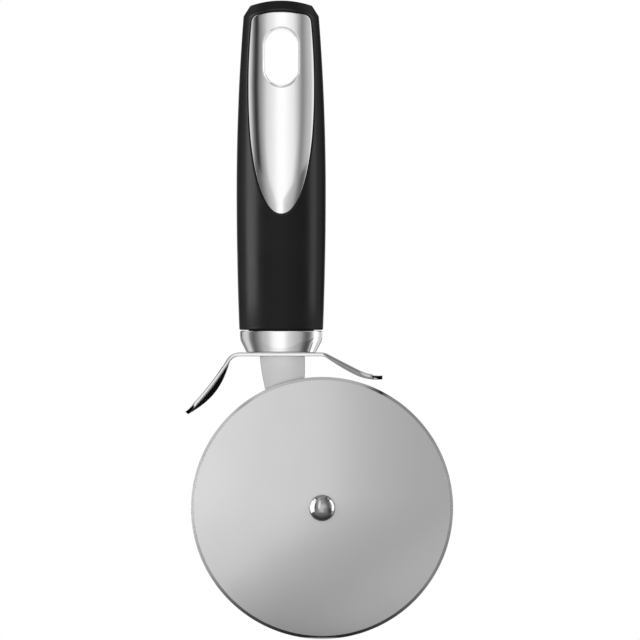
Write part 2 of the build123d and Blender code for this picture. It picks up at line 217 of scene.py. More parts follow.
def piece(name, patches, material, body, nodes, sharp=38, cutters=()):
    """One closed piece from its patches: joined, cut and smoothed by angle."""
    thing = placed(name + "_shape", closed_mesh(name, patches))
    for cutter in cutters:
        cut(thing, cutter)
    mesh = thing.data
    mesh.shade_smooth()
    mesh.set_sharp_from_angle(angle=radians(sharp))
    mesh.materials.clear()
    mesh.materials.append(material)
    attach(thing, body)
    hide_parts(*nodes)
    return thing


def cut(thing, patches):
    """Takes a closed shape away from a piece."""
    tool = placed("cutter", closed_mesh("cutter", patches))
    modifier = thing.modifiers.new("cut", "BOOLEAN")
    modifier.object = tool
    modifier.operation = "DIFFERENCE"
    modifier.solver = "EXACT"
    graph = bpy.context.evaluated_depsgraph_get()
    result = bpy.data.meshes.new_from_object(thing.evaluated_get(graph))
    thing.modifiers.clear()
    thing.data = result
    bpy.data.objects.remove(tool)


def arc(centre, radius, angles):
    """Points at angles round a centre: centre + radius * (cosine, sine)."""
    return np.stack([centre[0] + radius * np.cos(angles), centre[1] + radius * np.sin(angles)], -1)


def raised(rings, depth, side):
    """Rings of (x, z) set at a depth in front (side -1) or behind (side 1)."""
    y = np.broadcast_to(side * depth, rings.shape[:-1])
    return np.stack([rings[..., 0], y, rings[..., 1]], -1)


def capped(rings):
    """A closed shape: the grid along its rings and a flat face at each end."""
    return [grid(rings, around=True), cap(rings[0]), cap(rings[-1])]


def rod(centre, radius, low, high, count=32):
    """A closed rod along y, from one depth to another, for cutting holes."""
    ring = arc(centre, radius, np.linspace(0, 2 * pi, count, endpoint=False))
    return capped([raised(ring, y, 1) for y in (low, high)])


def turned(profile, count=96, closed=True):
    """A profile of (radius, depth) points spun about the axle."""
    profile = np.asarray(profile, float)
    angle = np.linspace(0, 2 * pi, count, endpoint=False)
    return grid(raised(arc(axle, profile[:, :1], angle), profile[:, 1:], 1), around=True, along=closed)


def bent(start, corner, end, share):
    """The curve from a start to an end that a corner between them draws to itself, at shares of its way."""
    return start * (1 - share) ** 2 + 2 * corner * share * (1 - share) + end * share**2


def rounded(corners, radius, steps=4, most=0.45):
    """A closed line with each corner rounded: a curve between points a radius away from it.

    The curve takes at most the given share of a side.
    """
    corners = np.asarray(corners, float)
    line = []
    for before, here, after in zip(np.roll(corners, 1, 0), corners, np.roll(corners, -1, 0)):
        back, ahead = before - here, after - here
        reach = min(radius, most * np.linalg.norm(back), most * np.linalg.norm(ahead))
        back, ahead = back / np.linalg.norm(back), ahead / np.linalg.norm(ahead)
        share = np.linspace(0, 1, steps)[:, None]
        line.append(bent(here + back * reach, here, here + ahead * reach, share))
    return np.concatenate(line)


def soft_min(a, b, blend):
    """The smaller of two values, with the change between them rounded over a blend."""
    share = np.clip(0.5 + 0.5 * (b - a) / blend, 0, 1)
    return b + (a - b) * share - blend * share * (1 - share)


def quarter_round(radius, angles):
    """A quarter-round edge's ways in and down at angles: radius * (1 - cosine) and radius * (1 - sine)."""
    return radius * (1 - np.cos(angles)), radius * (1 - np.sin(angles))


def edge_drop(distance, radius):
    """How far a quarter-round edge lies below the flat at a distance from its brink."""
    inside = np.clip(radius - distance, 0, radius)
    return radius - np.sqrt(radius**2 - inside**2)


# The handle's form
def barrel_half(z, sizes):
    """Half a size of the barrel: a parabola from the belly up to its end, and one down to its base."""
    widest, end, base = sizes
    above = z > belly
    share = np.where(above, (z - belly) / (handle_end - belly), (z - belly) / (handle_base - belly))
    far = np.where(above, end, base)
    return (widest - (widest - far) * share**2) / 2


def barrel_depth(x, z, inset=0.0):
    """The barrel's front depth at a place: an ellipse across, drawn in by an inset."""
    half_width = barrel_half(z, widths) - inset
    half_depth = barrel_half(z, depths) - inset
    return half_depth * np.sqrt(np.clip(1 - (x / half_width) ** 2, 0, 1))


def arch_distance(x, z):
    """How far a place lies below the arch of the handle's end, measured along the arch's radius."""
    arch_radius = (half_arch**2 + arch_rise**2) / (2 * arch_rise)
    return arch_radius - np.hypot(x, np.maximum(z - (handle_end - arch_radius), 0))


def end_distance(x, z):
    """How far inside the end's outline a place lies: the nearer of its arch and its slanted corner."""
    slant = (np.abs(x) - half_arch) * corner_height + (z - corner_level) * corner_run
    return np.minimum(arch_distance(x, z), -slant / np.hypot(corner_height, corner_run))


def skin_depth(x, z, inset=0.0):
    """The grip's front depth: the barrel, cut by the end's bevel, with its brink rounded."""
    inside = end_distance(x, z) - inset
    if inset:
        depth = np.minimum(barrel_depth(x, z, inset), end_depth / 2 - end_bevel + inside)
    else:
        below = arch_distance(x, z)
        bevel = soft_min(end_bevel * np.ones_like(below), below, crease_blend) - end_bevel
        brink = edge_drop(np.clip(inside, 0, None), end_round)
        depth = barrel_depth(x, z) + bevel - brink
    return np.clip(depth, 0, None)


def rim_of_form(angle, inset, furthest=150.0, halvings=48):
    """Where rays from the slot's centre leave the grip's outline above its tube, by halving."""
    low, high = np.zeros_like(angle), np.full_like(angle, furthest)
    for _ in range(halvings):
        middle = (low + high) / 2
        x, z = middle * np.cos(angle), middle * np.sin(angle)
        half_width = barrel_half(np.clip(z, handle_base, handle_end), widths)
        inside = (np.abs(x) <= half_width - inset) & (end_distance(x, z) >= inset) & (z >= tube_top)
        low, high = np.where(inside, middle, low), np.where(inside, high, middle)
    return low


def inlay_line(count=4000):
    """The inlay's outline as a closed line: superellipse, long arc, rounded corner and arched top."""
    turn = np.linspace(-pi / 2, 0, count // 4)
    power = 2 / inlay_power
    lower_x = inlay_half * np.abs(np.cos(turn)) ** power
    lower_z = inlay_belly - (inlay_belly - inlay_tip) * np.abs(np.sin(turn)) ** power
    corner_x, corner_z = inlay_corner
    rise = corner_z - inlay_belly
    run = inlay_half - corner_x
    side_radius = (rise**2 + run**2) / (2 * run)
    side_z = np.linspace(inlay_belly, corner_z, count // 4)[1:]
    side_x = inlay_half - side_radius + np.sqrt(side_radius**2 - (side_z - inlay_belly) ** 2)
    top_x = np.linspace(corner_x, 0, count // 8)[1:]
    top_z = corner_z + inlay_rise * (1 - (top_x / corner_x) ** 2)
    x = np.concatenate([lower_x, side_x, top_x])
    z = np.concatenate([lower_z, side_z, top_z])
    # The sharp corner becomes a curve between the points a tangent's length before and after it
    away = np.hypot(x - corner_x, z - corner_z)
    near = np.nonzero(away < inlay_corner_radius)[0]
    start, end = near[0], near[-1]
    share = np.linspace(0, 1, len(near))
    for line, mid in ((x, corner_x), (z, corner_z)):
        line[near] = bent(line[start], mid, line[end], share)
    x = np.concatenate([x, -x[-2:0:-1]])
    z = np.concatenate([z, z[-2:0:-1]])
    return np.stack([x, z], -1)


def evenly(line, count):
    """A closed line with the given number of points, spaced evenly along it."""
    closed = np.concatenate([line, line[:1]])
    length = np.concatenate([[0], np.cumsum(np.hypot(*np.diff(closed, axis=0).T))])
    place = np.linspace(0, length[-1], count, endpoint=False)
    return np.stack([np.interp(place, length, closed[:, i]) for i in (0, 1)], -1)


def outward(line):
    """Unit normals of a closed line that runs anticlockwise."""
    along = np.roll(line, -1, 0) - np.roll(line, 1, 0)
    normal = np.stack([along[:, 1], -along[:, 0]], -1)
    return normal / np.linalg.norm(normal, axis=1)[:, None]


def slot_ring(angle, margin):
    """The slot's outline, made larger by a margin, where rays from its centre meet it."""
    radius = slot_radius + margin
    along_side = radius / np.clip(np.abs(np.cos(angle)), 1e-9, None)
    end_z = slot_straight * np.abs(np.sin(angle))
    along_end = end_z + np.sqrt(radius**2 - (slot_straight * np.cos(angle)) ** 2)
    straight = along_side * np.abs(np.sin(angle)) <= slot_straight
    return arc((0, 0), np.where(straight, along_side, along_end), angle)


def between(inner, outer, shares):
    """Rings at shares of the way from an inner line to an outer one."""
    shares = np.asarray(shares)[:, None, None]
    return inner * (1 - shares) + outer * shares


# Finishes
def finish(name, colour, metallic, roughness, **sockets):
    """A node material, returned with its tree and shader."""
    material = bpy.data.materials.new(name)
    material.use_nodes = True
    tree = material.node_tree
    shader = tree.nodes["Principled BSDF"]
    shader.inputs["Base Color"].default_value = (*colour, 1)
    shader.inputs["Metallic"].default_value = metallic
    shader.inputs["Roughness"].default_value = roughness
    for socket, value in sockets.items():
        shader.inputs[socket.replace("_", " ")].default_value = value
    return material, tree, shader


def add_node(tree, kind, inputs=None, **properties):
    """A node with its properties set, and its inputs set to values or linked to other nodes' outputs."""
    node = tree.nodes.new(kind)
    for key, value in properties.items():
        setattr(node, key, value)
    for key, value in (inputs or {}).items():
        if isinstance(value, bpy.types.NodeSocket):
            tree.links.new(value, node.inputs[key])
        else:
            node.inputs[key].default_value = value
    return node


def maths(tree, operation, first, second):
    """What an operation makes of two values."""
    return add_node(tree, "ShaderNodeMath", {0: first, 1: second}, operation=operation).outputs[0]


def vector_maths(tree, operation, *values):
    """The outputs of an operation on vectors."""
    return add_node(tree, "ShaderNodeVectorMath", dict(enumerate(values)), operation=operation).outputs


def split(tree, vector):
    """A vector's X, Y and Z."""
    return add_node(tree, "ShaderNodeSeparateXYZ", {0: vector}).outputs


def mix_values(tree, share, first, second):
    """The first value where a share is 0, and the second where it is 1."""
    return add_node(tree, "ShaderNodeMix", {0: share, 2: first, 3: second}, data_type="FLOAT").outputs[0]


def mix_colours(tree, share, first, second):
    """The first colour where a share is 0, and the second where it is 1."""
    return add_node(tree, "ShaderNodeMix", {0: share, 6: first, 7: second}, data_type="RGBA").outputs[2]


def object_place(tree, stretch=(1, 1, 1), centre=(0, 0, 0), turn=(0, 0, 0)):
    """Object coordinates, moved to a centre in millimetres, turned and stretched."""
    where = add_node(tree, "ShaderNodeTexCoord")
    location = tuple(-c * mm * s for c, s in zip(centre, stretch))
    mapping = add_node(
        tree,
        "ShaderNodeMapping",
        {"Vector": where.outputs["Object"], "Location": location, "Rotation": turn, "Scale": stretch},
    )
    return mapping.outputs["Vector"]


def noise(tree, vector, per_mm, detail=2.0, roughness=0.5):
    """Noise with that many cells to a millimetre."""
    made = add_node(
        tree,
        "ShaderNodeTexNoise",
        {"Vector": vector, "Scale": per_mm / mm, "Detail": detail, "Roughness": roughness},
    )
    return made.outputs["Fac"]


def spread(tree, value, low, high, start=0.3, end=0.7, **properties):
    """A value from start to end brought to the range from low to high."""
    made = add_node(
        tree,
        "ShaderNodeMapRange",
        {"Value": value, "From Min": start, "From Max": end, "To Min": low, "To Max": high},
        **properties,
    )
    return made.outputs["Result"]


def vary(tree, shader, value, dark, light, low, high, start=0.3, end=0.7):
    """The colour goes from dark to light with a value, and the roughness from low to high."""
    tree.links.new(mix_colours(tree, value, (*dark, 1), (*light, 1)), shader.inputs["Base Color"])
    tree.links.new(spread(tree, value, low, high, start, end), shader.inputs["Roughness"])


def dimmed(colour, share):
    """A share of a colour's light."""
    return tuple(share * c for c in colour)


def ramp(tree, share, stops):
    """Grey light along a share from 0 to 1, even between its stops of a place and a light."""
    made = add_node(tree, "ShaderNodeValToRGB", {"Fac": share})
    elements = made.color_ramp.elements
    for number, (place, light) in enumerate([stops[0], stops[-1], *stops[1:-1]]):
        stop = elements[number] if number < 2 else elements.new(place)
        stop.position = place
        stop.color = (light, light, light, 1)
    return made.outputs["Color"]


def ramp_over(tree, value, stops, unit=1.0, strongest=1.0):
    """Grey light along a value, as a part of the strongest, between stops whose places are in a unit."""
    low, high = stops[0][0], stops[-1][0]
    share = spread(tree, value, 0.0, 1.0, low * unit, high * unit)
    return ramp(tree, share, [((place - low) / (high - low), light / strongest) for place, light in stops])


def relief(tree, shader, height, depth, strength=1.0):
    """Bump with a depth in millimetres."""
    made = add_node(
        tree, "ShaderNodeBump", {"Height": height, "Distance": depth * mm, "Strength": strength}
    )
    tree.links.new(made.outputs["Normal"], shader.inputs["Normal"])


def soft_grip_finish():
    """Soft-touch moulding: near black, satin, with a fine even texture and a little rubbed wear."""
    material, tree, shader = finish("soft_grip", (0.005, 0.005, 0.0052), 0, 0.3, Specular_IOR_Level=0.1)
    place = object_place(tree)
    rub = noise(tree, place, 0.06, 3)
    vary(tree, shader, rub, (0.004, 0.004, 0.0042), (0.0065, 0.0065, 0.0068), 0.27, 0.34)
    relief(tree, shader, noise(tree, place, 4.0, 2), 0.006, 0.6)
    return material


def polished_finish(name, colour, low, high, stretch=(1, 1, 1)):
    """Mirror polish: bright metal with faint smears and hairlines along one direction."""
    material, tree, shader = finish(name, colour, 1, low)
    smear = noise(tree, object_place(tree), 0.12, 4)
    vary(tree, shader, smear, dimmed(colour, 0.97), colour, low, high)
    relief(tree, shader, noise(tree, object_place(tree, stretch), 1.0, 3), 0.0006, 0.5)
    return material


def steel_look(tree, shader, grain, mottle, colour, dark, low, high, strength):
    """Steel whose shine and colour follow the sum of its grain and a broad soft mottle."""
    both = maths(tree, "ADD", grain, mottle)
    vary(tree, shader, both, dimmed(colour, dark), colour, low, high, 0.7, 1.3)
    relief(tree, shader, grain, 0.002, strength)


def turned_finish(name, colour, low, high, per_mm=5.0, bevel=None):
    """Fine grain left by a face lathe: noise along the distance from the axle, and broad soft mottle.

    From the bevel's radius outwards the steel is ground finer.
    """
    material, tree, shader = finish(name, colour, 1, low)
    place = object_place(tree, centre=(axle[0], 0, axle[1]))
    flat = vector_maths(tree, "MULTIPLY", place, (1, 0, 1))[0]
    radius = vector_maths(tree, "LENGTH", flat)["Value"]
    rings = add_node(tree, "ShaderNodeCombineXYZ", {"X": radius}).outputs["Vector"]
    grain = noise(tree, rings, per_mm, 3)
    steel_look(tree, shader, grain, noise(tree, place, 0.09, 3), colour, 0.94, low, high, 0.35)
    if bevel:
        ground = spread(tree, radius, 1.0, 0.0, (bevel - bevel_blur) * mm, (bevel + bevel_blur) * mm)
        for socket, mix, value in (
            (shader.inputs["Roughness"], mix_values, bevel_roughness),
            (shader.inputs["Base Color"], mix_colours, (*bevel_colour, 1)),
        ):
            tree.links.new(mix(tree, ground, value, socket.links[0].from_socket), socket)
    return material


def brushed_finish(name, colour, low, high, stretch, strength=0.35):
    """Lengthwise brushed steel: noise drawn out along the strip, and broad soft mottle."""
    material, tree, shader = finish(name, colour, 1, low)
    grain = noise(tree, object_place(tree, stretch), 4.0, 3)
    mottle = noise(tree, object_place(tree), 0.1, 3)
    steel_look(tree, shader, grain, mottle, colour, 0.93, low, high, strength)
    return material


def moulded_finish(name, colour, low, high):
    """Plain moulded plastic, rubber or foam: fine texture, and a finish that varies a little."""
    material, tree, shader = finish(name, colour, 0, low)
    place = object_place(tree)
    vary(tree, shader, noise(tree, place, 0.15, 3), dimmed(colour, 0.88), colour, low, high)
    relief(tree, shader, noise(tree, place, 1.2, 3), 0.01, 0.5)
    return material


bevel_blur, bevel_roughness, bevel_colour = 0.05, 0.17, (0.64, 0.64, 0.645)
soft_grip = soft_grip_finish()
polished = polished_finish("polished_steel", (0.90, 0.90, 0.905), 0.05, 0.09, (1, 1, 0.05))
rivet_polish = polished_finish("polished_rivet", (0.52, 0.52, 0.523), 0.10, 0.14)
wheel_steel = turned_finish(
    "turned_wheel_steel", (0.69, 0.69, 0.69), 0.33, 0.40, bevel=wheel_radius - edge_bevel_width
)
arm_steel = brushed_finish("brushed_arm_steel", (0.66, 0.66, 0.66), 0.32, 0.40, (1, 1, 0.04))
guard_steel = brushed_finish("bright_guard_steel", (0.80, 0.80, 0.805), 0.14, 0.20, (0.05, 1, 1), 0.04)
plain_steel = turned_finish("plain_turned_steel", (0.58, 0.58, 0.58), 0.28, 0.36, 3.0)
core_plastic = moulded_finish("core_plastic", (0.06, 0.06, 0.065), 0.5, 0.6)
bush_plastic = moulded_finish("bush_plastic", (0.80, 0.79, 0.74), 0.35, 0.45)
seal_rubber = moulded_finish("seal_rubber", (0.03, 0.03, 0.03), 0.6, 0.7)
adhesive_foam = moulded_finish("adhesive_foam", (0.20, 0.20, 0.21), 0.7, 0.8)
epoxy = moulded_finish("epoxy", (0.42, 0.33, 0.17), 0.2, 0.3)

for material, *nodes in (
    (core_plastic, "core_front", "core_rear"),
    (seal_rubber, "tang_seal"),
    (plain_steel, "tang_pins"),
    (adhesive_foam, "front_inlay_adhesive", "rear_inlay_adhesive"),
    (epoxy, "ferrule_bond"),
):
    for node in nodes:
        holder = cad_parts[node].data
        holder.materials.clear()
        holder.materials.append(material)

# Grip
ring_count = 528
sharp_line = inlay_line()
plate_line = evenly(sharp_line, ring_count)
window_line = plate_line + outward(plate_line) * window_gap
ray_angle = np.unwrap(np.arctan2(window_line[:, 1], window_line[:, 0]))

# Rays through the form's own corners replace the nearest ones, so that no corner is cut off
corner_search = 6
facet_z = np.linspace(corner_level - corner_search, corner_level, 4001)
facet_x = half_arch + (corner_level - facet_z) * corner_run / corner_height
meets = np.argmin(np.abs(facet_x - barrel_half(facet_z, widths)))
tube_half_width = float(barrel_half(np.array(tube_top), widths))
key_places = (
    (half_arch, corner_level),
    (facet_x[meets], facet_z[meets]),
    (tube_half_width, tube_top),
)
for key_x, key_z in key_places:
    for mirrored in (1, -1):
        key = np.arctan2(key_z, mirrored * key_x)
        gap = np.angle(np.exp(1j * (ray_angle - key)))
        nearest = np.argmin(np.abs(gap))
        ray_angle[nearest] -= gap[nearest]
dense_line = sharp_line + outward(sharp_line) * window_gap
dense_angle = np.arctan2(dense_line[:, 1], dense_line[:, 0])
order = np.argsort(dense_angle)
window_reach = np.interp(
    ray_angle, dense_angle[order], np.hypot(*dense_line[order].T), period=2 * pi
)
ray = np.stack([np.cos(ray_angle), np.sin(ray_angle)], -1)
window_line = ray * window_reach[:, None]
window_out = outward(window_line)


def grip_half(side, inset, lip_offsets, shares):
    """Half the grip's skin round its window: rings at the lip's offsets, then on to the outline."""
    lip = np.stack([window_line + window_out * offset for offset in lip_offsets])
    rim = ray * rim_of_form(ray_angle, inset)[:, None]
    rings = np.concatenate([lip, between(lip[-1], rim, shares)])
    depth = skin_depth(rings[..., 0], rings[..., 1], inset)
    if not inset:
        drop = edge_drop(np.asarray(lip_offsets), lip_round)
        depth[: len(lip)] -= drop[:, None]
    return raised(rings, depth, side)


def grip_tube(front, levels, inset, eased):
    """The grip below its windows: both halves' lowest line carried down the barrel."""
    low = front[-1][np.abs(front[-1][:, 2] - tube_top) < weld]
    low = low[np.argsort(low[:, 0])]
    across = np.clip(low[:, 0] / (tube_half_width - inset), -1, 1)
    across = np.concatenate([across, across[-2:0:-1]])
    side = np.concatenate([np.full(len(low), -1.0), np.full(len(low) - 2, 1.0)])
    z = np.asarray(levels)[:, None]
    draw_in = inset + (edge_drop(z - handle_base, base_round) if eased else 0)
    x = (barrel_half(z, widths) - draw_in) * across
    y = side * (barrel_half(z, depths) - draw_in) * np.sqrt(1 - across**2)
    return np.stack([x, y, np.broadcast_to(z, x.shape)], -1)


def end_strip(front, back, steps=3):
    """The flat strip over the handle's end, between the halves' outermost lines."""
    share = np.linspace(0, 1, steps)[:, None, None]
    line = np.nonzero(front[-1][:, 2] > tube_top + weld)[0]
    start = np.nonzero(np.diff(line) > 1)[0]
    if len(start):
        line = np.roll(line, -(start[0] + 1))
    return front[-1][line] * (1 - share) + back[-1][line] * share


lip_offsets = [0, 0.02, 0.06, 0.12, 0.2, 0.3, 0.42, 0.56]
outer_shares = np.sin(np.linspace(0, pi / 2, 30))[1:]
inner_shares = np.sin(np.linspace(0, pi / 2, 9))[1:]
front_skin, back_skin = (grip_half(side, 0.0, lip_offsets, outer_shares) for side in (-1, 1))
front_lining, back_lining = (grip_half(side, grip_wall, [0], inner_shares) for side in (-1, 1))
round_levels = handle_base + base_round * (1 - np.cos(np.linspace(pi / 2, 0, 7)))
tube_levels = np.concatenate([np.linspace(tube_top, handle_base + base_round, 40)[:-1], round_levels])
outer_tube = grip_tube(front_skin, tube_levels, 0.0, True)
inner_tube = grip_tube(front_lining, [tube_top, -90.0, handle_base], grip_wall, False)


def base_ring(tube, count=256):
    """A tube's lowest ring of points, brought to a number of points by its angle round the z axis."""
    loop = tube[-1]
    angle = np.arctan2(loop[:, 1] / base_depth, loop[:, 0] / base_width)
    turn = np.linspace(-pi, pi, count, endpoint=False)
    ordered = np.argsort(angle)
    return np.stack(
        [np.interp(turn, angle[ordered], loop[ordered, i], period=2 * pi) for i in range(3)], -1
    )


rings_around = (
    front_skin,
    back_skin,
    outer_tube,
    np.stack([front_skin[0], front_lining[0]]),
    np.stack([back_skin[0], back_lining[0]]),
    front_lining,
    back_lining,
    inner_tube,
    np.stack([base_ring(outer_tube), base_ring(inner_tube)]),
)
strips = (end_strip(front_skin, back_skin), end_strip(front_lining, back_lining))
grip_patches = [grid(rings, around=True) for rings in rings_around] + [grid(strip) for strip in strips]
soft_skin = piece("grip", grip_patches, soft_grip, "handle", ["grip"], sharp=50)

# Inlays
plate_angle = np.arctan2(plate_line[:, 1], plate_line[:, 0])
plate_out = outward(plate_line)


def plate_depth(rings):
    """The inlay's face: the barrel, a little proud, which rolls down towards its own outline."""
    x, z = rings[..., 0], rings[..., 1]
    flat = rings.reshape(-1, 2)
    away = np.concatenate(
        [
            np.sqrt(((part[:, None] - plate_line[None]) ** 2).sum(-1)).min(1)
            for part in np.array_split(flat, 40)
        ]
    ).reshape(x.shape)
    down = np.clip((inlay_belly - z) / (inlay_belly - inlay_tip), 0, 1)
    roll = inlay_roll_top + (inlay_roll_tip - inlay_roll_top) * down
    rolled = roll * np.clip(1 - away / inlay_roll, 0, 1) ** 2
    return barrel_depth(x, z) + inlay_proud - rolled


def inlay_patches(side):
    """An inlay's face, back, outer wall and slot wall."""
    edge_offsets = np.array([0, 0.015, 0.05, 0.1, 0.17, 0.25, 0.34])
    edge = np.stack([plate_line - plate_out * offset for offset in edge_offsets])
    hole_offsets = np.array([0.2, 0.12, 0.05, 0.0])
    hole = np.stack([slot_ring(plate_angle, liner_gap + offset) for offset in hole_offsets])
    face = np.concatenate([edge, between(edge[-1], hole[0], np.linspace(0, 1, 52)[1:-1]), hole])
    depth = plate_depth(face)
    depth[: len(edge)] -= edge_drop(edge_offsets, inlay_edge)[:, None]
    depth[-len(hole) :] -= edge_drop(hole_offsets, hole_edge)[:, None]
    front = raised(face, depth, side)
    back_rings = between(plate_line, slot_ring(plate_angle, liner_gap), np.linspace(0, 1, 14))
    back_depth = barrel_depth(back_rings[..., 0], back_rings[..., 1], inlay_thickness - inlay_proud)
    back = raised(back_rings, back_depth, side)
    walls = [np.stack([front[i], back[i]]) for i in (0, -1)]
    return [grid(rings, around=True) for rings in (front, back, *walls)]


for name, side in (("front_inlay", -1), ("rear_inlay", 1)):
    piece(name, inlay_patches(side), polished, "handle", [name], sharp=50)

# Liner of the hanging slot
liner_angle = np.linspace(0, 2 * pi, 256, endpoint=False)
quarter = np.linspace(0, pi / 2, 6)
inward, drop = quarter_round(liner_edge, quarter[::-1])
edges = [*zip(*quarter_round(liner_outer_edge, quarter)), *zip(liner_wall - inward, drop)]
face = barrel_depth(*slot_ring(liner_angle, 0).T) + inlay_proud
liner_rows = [raised(slot_ring(liner_angle, -inward), face - drop, -1) for inward, drop in edges]
liner_rows += [raised(slot_ring(liner_angle, -inward), face - drop, 1) for inward, drop in edges[::-1]]
liner_patches = [grid(liner_rows, around=True, along=True)]
liner_piece = piece(
    "hang_slot_liner", liner_patches, polished, "handle", ["hang_slot_liner"], sharp=50
)

# Ferrule
oval_angle = np.linspace(0, 2 * pi, 320, endpoint=False)


def oval(half_width, half_depth, z):
    """An ellipse of points at a height."""
    x = half_width * np.cos(oval_angle)
    y = half_depth * np.sin(oval_angle)
    return np.stack([x, y, np.full_like(x, z)], -1)


def slot_loop(half_width, half_depth, z):
    """A rectangle of points at a height, where the ellipse's own angles meet it."""
    x, y = np.cos(oval_angle), np.sin(oval_angle)
    reach = 1 / np.maximum(np.abs(x) / half_width, np.abs(y) / half_depth)
    return np.stack([x * reach, y * reach, np.full_like(x, z)], -1)


shoulder_level = ferrule_top - ferrule_band
taper_run = (shoulder_level - ferrule_base) * taper_slope
ferrule_line = [(0.0, ferrule_top), (0.0, shoulder_level), (taper_run, ferrule_base)]
shoulder = rounded(ferrule_line, shoulder_round, 9)[9:18]
inward, drop = quarter_round(ferrule_edge, quarter[::-1])
top_rows = np.stack([inward, ferrule_top - drop], -1)
foot_start = np.array((taper_run - foot_rise * taper_slope, ferrule_base + foot_rise))
foot_corner = np.array((taper_run, ferrule_base))
foot_end = np.array((taper_run + ferrule_edge, ferrule_base))
foot_rows = bent(foot_start, foot_corner, foot_end, np.linspace(0, 1, 6)[:, None])
held = np.array((0.02, 0.1, 0.5, 0.9, 0.98))[:, None]
band_rows = top_rows[-1] * (1 - held) + shoulder[0] * held
taper_rows = shoulder[-1] * (1 - held) + foot_start * held
rows = [
    oval(ferrule_width / 2 - inward, ferrule_depth / 2 - inward, z)
    for inward, z in np.concatenate([top_rows, band_rows, shoulder, taper_rows, foot_rows])
]
rows += [slot_loop(*tang_slot, ferrule_base), slot_loop(*tang_slot, seal_base)]
rows += [oval(*seal_oval, seal_base), oval(*seal_oval, seal_top)]
rows += [oval(*spigot_oval, seal_top), oval(*spigot_oval, ferrule_top)]
ferrule_patches = [grid(rows, around=True, along=True)]
ferrule_piece = piece(
    "ferrule", ferrule_patches, polished, "handle", ["ferrule"], sharp=40
)


# Finger guard
def wing_line(side, bend_place, runs):
    """A wing's side line from its bend on: each point's place, heading and share of the wing gone by."""
    x, z, heading, gone = side * bend_place, guard_middle, 0.0, 0.0
    wing = sum(run[0] for run in runs[1:])
    line = [(x, z, heading, 0.0)]
    for number, (length, turn_by, steps) in enumerate(runs):
        for _ in range(steps):
            half_turn = radians(turn_by) / steps / 2
            heading += half_turn
            x += side * length / steps * cos(heading)
            z -= length / steps * sin(heading)
            heading += half_turn
            gone += length / steps if number else 0
            line.append((x, z, heading, gone / wing))
    return line, wing


def guard_rings():
    """Closed loops across the guard, carried along its path: two bowed faces with rounded edges."""
    across = np.linspace(-1, 1, 25)
    quarter = np.linspace(-pi / 2, pi / 2, 9)[1:-1]
    bar = np.linspace(-wings[0][1], wings[1][1], 13)[1:-1]
    stations = [(x, guard_middle, 0.0, 0.0, 0, 0, 0) for x in bar]
    for side, bend_place, cup, runs in wings:
        line, wing = wing_line(side, bend_place, runs)
        found = [(*point, side, wing, cup) for point in line]
        stations = found[::-1] + stations if side < 0 else stations + found
    half_sheet = guard_thickness / 2
    faces = np.full(len(across), half_sheet)
    # The tip's bow and the corner's arc that joins it to the side, by how far they are from the tip
    bow_radius = (guard_half**2 + tip_bow**2) / (2 * tip_bow)
    inner = np.sqrt((bow_radius - tip_corner) ** 2 - (guard_half - tip_corner) ** 2)
    corner_end = bow_radius - inner
    bow_end = bow_radius * (1 - inner / (bow_radius - tip_corner))
    rings = []
    for x, z, heading, share, side, wing, cup in stations:
        half_width = guard_half
        if side:
            to_tip = (1 - share) * wing
            if to_tip < bow_end:
                bow = np.sqrt(max(bow_radius**2 - (bow_radius - to_tip) ** 2, 0))
                half_width = max(bow, tip_least)
            elif to_tip < corner_end:
                half_width = guard_half - tip_corner + np.sqrt(tip_corner**2 - (corner_end - to_tip) ** 2)
        edge = min(guard_edge, half_width / 2)
        y = across * (half_width - edge)
        round_y = half_width - edge + edge * np.cos(quarter)
        round_t = half_sheet * np.sin(quarter)
        loop_y = np.concatenate([y[::-1], -round_y[::-1], y, round_y])
        loop_t = np.concatenate([faces, round_t[::-1], -faces, round_t])
        lift = loop_t - cup * np.sin(pi * share) * (1 - (loop_y / guard_half) ** 2)
        normal_x, normal_z = (side or 1) * np.sin(heading), np.cos(heading)
        rings.append(np.stack([x + lift * normal_x, loop_y, z + lift * normal_z], -1))
    return rings


slot_x, slot_y = tang_slot
slot_box = [
    [(slot_x * right, slot_y * back, guard_middle + reach) for right, back in square]
    for reach in (-cutter_reach, cutter_reach)
]
guard_piece = piece(
    "finger_guard",
    capped(guard_rings()),
    guard_steel,
    "handle",
    ["finger_guard"],
    cutters=[capped(slot_box)],
)
# The polished ferrule shows the studio and not the guard under it
guard_piece.visible_glossy = False


